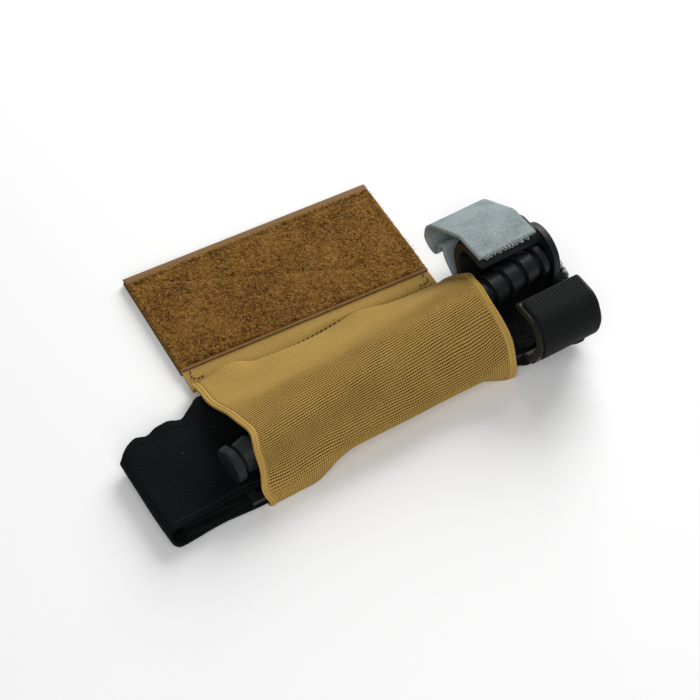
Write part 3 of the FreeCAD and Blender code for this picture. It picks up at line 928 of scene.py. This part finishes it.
def rounded(points):
    """Points (x, z, radius) as a smooth run of (x, z): straights joined by arcs."""
    run = [points[0][:2]]
    for before, corner, after in zip(points, points[1:], points[2:]):
        here = Vector(corner[:2])
        back = (Vector(before[:2]) - here).normalized()
        ahead = (Vector(after[:2]) - here).normalized()
        half = back.angle(ahead) / 2
        radius = corner[2]
        reach = radius / math.tan(half)
        centre = here + (back + ahead).normalized() * (radius / math.sin(half))
        first = here + back * reach - centre
        last = here + ahead * reach - centre
        sweep = first.angle_signed(last)
        steps = 8
        for step in range(steps + 1):
            turned = first.copy()
            turned.rotate(Matrix.Rotation(-sweep * step / steps, 2))
            spot = centre + turned
            run.append((spot.x, spot.y))
    run.append(points[-1][:2])
    return run


def densify(run, longest):
    """The same run with no step longer than a length."""
    dense = [run[0]]
    for first, last in zip(run, run[1:]):
        gap = math.dist(first, last)
        pieces = max(1, math.ceil(gap / longest))
        for index in range(1, pieces + 1):
            share = index / pieces
            dense.append((mix(first[0], last[0], share), mix(first[1], last[1], share)))
    return dense


BAND_COLUMNS = 28
BAND_LOWEST = 1.25      # no part of the band's outer face lies lower than this


def ribbon(name, run, near, far, thick, material, wobble=None):
    """A band that follows a run of (x, z) in mm, from its near edge to its far edge, and its length."""
    reached = distances(run)

    def point(index, share):
        x, z = run[index]
        y = mix(near(x, z), far(x, z), share)
        tangent = direction(run, index)
        out = thick / 2 + (wobble(x, y, z) if wobble else 0.0)
        return tourniquet_at(x - drawn_back(x, y) - tangent.y * out, y, max(z + tangent.x * out, BAND_LOWEST))

    def uv(index, share):
        return reached[index], mix(near(*run[index]), far(*run[index]), share)

    verts, faces, uvs = shell(range(len(run)), spread(BAND_COLUMNS), point, uv, thick * MM)
    return new_piece(name, verts, faces, uvs, material, "tourniquet"), reached[-1]


LAYER_LOW = 2.65
LAYER_STEP = 1.9
BAND_THICK = 1.35
BAND_NEAR = -18.0
BAND_FAR = 20.0
BAND_LEFT = -98.0
BAND_RIGHT = 80.0
SPLICE = 30.0           # where the webbing ends and its pile tail begins
TAIL_RIGHT = 85.0
TAIL_HEIGHT = 13.35
TAIL_END = 20.5
TAIL_FIBRES = 6500


def layer(index):
    return LAYER_LOW + index * LAYER_STEP


def far_edge(x, z):
    """The band's far edge: straight low down, and spread in soft waves where the top layers come out."""
    out = smooth(-44, -60, x)
    high = smooth(layer(0) + 1, layer(3), z)
    waves = 0.7 * math.sin((x + 96) * 0.44) + 0.25 * math.sin((x + 90) * 0.95)
    spreading = mix(1.5, 6.0, smooth(-98, -88, x)) + 3.6 * smooth(-72, -60, x)
    return BAND_FAR + out * (1.5 * (1 - high) + high * (spreading + waves))


def near_edge(x, z):
    """The band's near edge: inside the sleeve it is squeezed in under the plate, most at the bottom."""
    level = smooth(layer(0), layer(3), z)
    squeezed = smooth(-46, -24, x) * mix(0.2, 1.0, smooth(50, 38, x)) * smooth(76, 64, x)
    squeezed *= mix(8.5, 3.8, level)
    out_of_line = 3.2 * level * smooth(-52, -60, x)
    return BAND_NEAR + squeezed + out_of_line + 0.35 * math.sin(x * 0.13 + z * 2.1)


def drawn_back(x, y):
    """How far the band's right end stops short of its fold line: most at the near side, behind the claw."""
    return smooth(62, 84, x) * mix(8.5, 3.5, smooth(BAND_NEAR, BAND_FAR, y))


def band_wobble(x, y, z):
    """How far a layer stands off its run at the left: soft waves, and a lowered far edge."""
    out = smooth(-50, -64, x)
    edge = smooth(14, 24, y)
    return out * (0.35 * math.sin(x * 0.23 + y * 0.12) - edge * 1.1 * (0.5 + 0.5 * math.sin(x * 0.36 + 1)))


TOP_LAYER = layer(3)


def make_band_webbing():
    """Four layers, folded to and fro: the outermost turn at the left goes round the inner one."""
    outer_turn = 1.5 * LAYER_STEP - 0.02
    inner_turn = LAYER_STEP / 2 - 0.02
    inner_left = BAND_LEFT + 2 * LAYER_STEP
    run = densify(rounded([
        (-68.2, layer(2)),
        (inner_left, layer(2), inner_turn),
        (inner_left, layer(1), inner_turn),
        (BAND_RIGHT, layer(1), inner_turn),
        (BAND_RIGHT, layer(0), inner_turn),
        (BAND_LEFT, layer(0), outer_turn),
        (BAND_LEFT, TOP_LAYER, outer_turn),
        (SPLICE, TOP_LAYER),
    ]), 1.6)
    piece, length = ribbon("band_webbing", run, near_edge, far_edge, BAND_THICK, BAND_LOOK, band_wobble)
    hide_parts("self_adhering_band")


def make_band_tail():
    """The fuzzy part, which folds back over the clip's base at the right."""
    turn = (TAIL_HEIGHT - TOP_LAYER) / 2 - 0.02
    run = densify(rounded([(SPLICE + 0.1, TOP_LAYER), (TAIL_RIGHT, TOP_LAYER, turn),
                           (TAIL_RIGHT, TAIL_HEIGHT, turn), (TAIL_END, TAIL_HEIGHT)]), 1.2)
    piece, length = ribbon("band_tail_pile", run, near_edge, lambda x, z: BAND_FAR, BAND_THICK, BLACK_PILE)
    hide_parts("band_pile_tail")
    roots = []
    half = BAND_THICK / 2
    in_the_open = 40
    while len(roots) < TAIL_FIBRES:
        index = chance.randrange(1, len(run) - 1)
        x, z = run[index]
        if x < in_the_open:
            continue
        tangent = direction(run, index)
        x += chance.uniform(-0.6, 0.6)
        y = chance.uniform(near_edge(x, z), BAND_FAR)
        outward = Vector((tangent.y, 0, -tangent.x))
        x -= drawn_back(x, y)
        roots.append((tourniquet_at(x + outward.x * half, y, z + outward.z * half), outward))
    fuzz = fibres("band_tail_fibres", roots, 1.3 * MM, 0.17 * MM, BLACK_FIBRE, "tourniquet", 0.8)


def make_band_tip():
    """The plain end of the band, cut a little narrower."""
    inset = 3
    run = densify([(TAIL_END - 0.1, TAIL_HEIGHT), (15.0, TAIL_HEIGHT)], 0.8)
    piece, _ = ribbon("band_tip_webbing", run, lambda x, z: BAND_NEAR + inset + smooth(17, 15, x),
                      lambda x, z: BAND_FAR - inset - smooth(17, 15, x), BAND_THICK, BAND_LOOK)
    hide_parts("band_tip")


def stitch_band():
    """A row of thread along each edge of the top layer, as far as it is in the open."""
    top = TOP_LAYER + BAND_THICK / 2

    def near_row(x):
        return near_edge(x, TOP_LAYER) + 2.0

    def far_row(x):
        return far_edge(x, TOP_LAYER) - 3.2

    for name, node, row, look in (("band_thread_near", "band_stitching_near", near_row, GREY_THREAD),
                                  ("band_thread_far", "band_stitching_far", far_row, BAND_LOOK)):
        runs = []
        x = BAND_LEFT + 3.0
        while x < -58:
            y = row(x)
            y_next = row(x + 1.9)
            lift = band_wobble(x, y, top)
            runs.append([tourniquet_at(x, y, top + lift),
                         tourniquet_at(x + 0.9, (y + y_next) / 2, top + 0.08 + lift),
                         tourniquet_at(x + 1.9, y_next, top + lift)])
            x += 2.0
        piece = thread_piece(name, runs, 0.12 * MM, look, "tourniquet")
        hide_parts(node)


def make_inner_band():
    """The narrow band through the rod's slot, an upturned U across the tourniquet."""
    low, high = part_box("inner_band")
    first = in_tourniquet(low)
    last = in_tourniquet(high)
    foot = first.z + 0.55
    top = last.z - 0.55
    reach = 8.6
    thick = 1.0
    step = 0.8
    middle = ROD_MIDDLE
    run = densify(rounded([
        (middle - reach - 6, foot), (middle - reach, foot, 1.2), (middle - reach, top, 2.5),
        (middle + reach, top, 2.5), (middle + reach, foot, 1.2), (middle + reach + 6, foot)]), step)

    def point(index, x):
        y, z = run[index]
        tangent = direction(run, index)
        return tourniquet_at(x, y - tangent.y * thick / 2, z + tangent.x * thick / 2)

    verts, faces, uvs = shell(range(len(run)), spread(26, last.x, first.x), point,
                              lambda index, x: (index * step, x), thick * MM)
    piece = new_piece("inner_band_webbing", verts, faces, uvs, BAND_LOOK, "tourniquet")
    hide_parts("inner_band")


# ---- time strap and hook patches ----

STRAP_LEFT = 45.0
STRAP_RIGHT = 69.5


def across_sheet(name, run, left, right, thick, material, body):
    """A strip that follows a run of (y, z) in mm and spans from left to right along X, and its length."""
    reached = distances(run)

    def point(index, share):
        y, z = run[index]
        tangent = direction(run, index)
        return tourniquet_at(mix(right, left, share), y - tangent.y * thick / 2, z + tangent.x * thick / 2)

    verts, faces, uvs = shell(range(len(run)), spread(26), point,
                              lambda index, share: (mix(left, right, share), reached[index]), thick * MM)
    return new_piece(name, verts, faces, uvs, material, body), reached[-1]


STRAP_END = 11.4


def make_strap():
    run = densify(rounded([
        (25.2, 11.4), (32.0, 16.0, 8.0), (35.2, 23.6, 1.6), (37.8, 13.6, 3.0), (41.0, 12.5, 4.0),
        (45.6, 14.8, 2.6), (45.0, 22.8, 8.5), (24.6, 35.2, 6.0), (STRAP_END, 35.5)]), 0.8)
    piece, length = across_sheet("time_strap_felt", run[::-1], STRAP_LEFT, STRAP_RIGHT, 1.25,
                                 STRAP_LOOK, None)
    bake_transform(piece)
    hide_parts("strap_anchor", "time_strap")


def make_strap_stitches():
    """White loops of thread along the strap's free edge, on the far claw's lip."""
    loops = []
    x = STRAP_LEFT + 2.2
    while x < STRAP_RIGHT - 4.5:
        size = chance.uniform(0.75, 1.05)
        lean = chance.uniform(-0.35, 0.35)
        loop = []
        for step in range(9):
            turn = 2 * math.pi * step / 8
            loop.append(tourniquet_at(x + size * 0.6 * math.sin(turn) + lean * (1 - math.cos(turn)),
                                      STRAP_END + 0.2 - size * (1 - math.cos(turn)) * 0.9,
                                      36.1 + 0.12 * math.sin(2 * turn) - 0.25 * (1 - math.cos(turn))))
        loops.append(loop)
        x += chance.uniform(1.15, 1.55)
    piece = thread_piece("strap_edge_loops", loops, 0.17 * MM, WHITE_THREAD, "strap")


def claw_corners(side):
    """The corners of a claw's section, as (y, z, radius): side is -1 for the near one, 1 for the far one."""
    return [(0, 12.4), (side * 22.0, 12.4, 3.0), (side * 26.8, 24.0, 9.0), (side * 22.6, 32.3, 5.0),
            (side * 12.2, 32.5, 1.7), (side * 11.7, 30.6)]


CLAW_HALF_THICK = 1.6
PATCH_THICK = 0.6


def make_patch(side, name, node, reach):
    """Hook tape round the outside of a claw, from halfway up its flank to a share of its lip."""
    corners = claw_corners(side)
    foot = tuple(mix(a, b, 0.5) for a, b in zip(corners[1][:2], corners[2][:2]))
    top = tuple(mix(a, b, reach) for a, b in zip(corners[3][:2], corners[4][:2]))
    run = densify(rounded([foot, corners[2], corners[3], top]), 0.7)
    offset = -side * (CLAW_HALF_THICK + PATCH_THICK)
    moved = []
    for index, (y, z) in enumerate(run):
        tangent = direction(run, index)
        moved.append((y - tangent.y * offset, z + tangent.x * offset))
    if side > 0:
        moved = moved[::-1]
    piece, length = across_sheet(name, moved, 46.6, 70.4, PATCH_THICK, BLACK_HOOK, "tourniquet")
    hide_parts(node)


def dress_cad_nodes():
    """The plastic parts keep their CAD shapes and get the moulded look."""
    for name in ("windlass_rod", "windlass_clip", "clip_posts", "stabilization_plate", "routing_buckle"):
        node = frame["nodes"][name]
        for slot in node.material_slots:
            slot.material = PLASTIC


make_camera()
make_light()
make_floor()
make_sleeve()
make_flap_elastic()
make_loop_panel()
make_tape_edges()
make_hook_panel()
stitch_panel()
stitch_flap_corners()
stitch_seam()
make_band_webbing()
make_band_tail()
make_band_tip()
stitch_band()
make_inner_band()
make_strap()
make_strap_stitches()
make_patch(-1, "near_hook_patch", "hook_patch_near", 0.97)
make_patch(1, "far_hook_patch", "hook_patch_far", 0.7)
dress_cad_nodes()
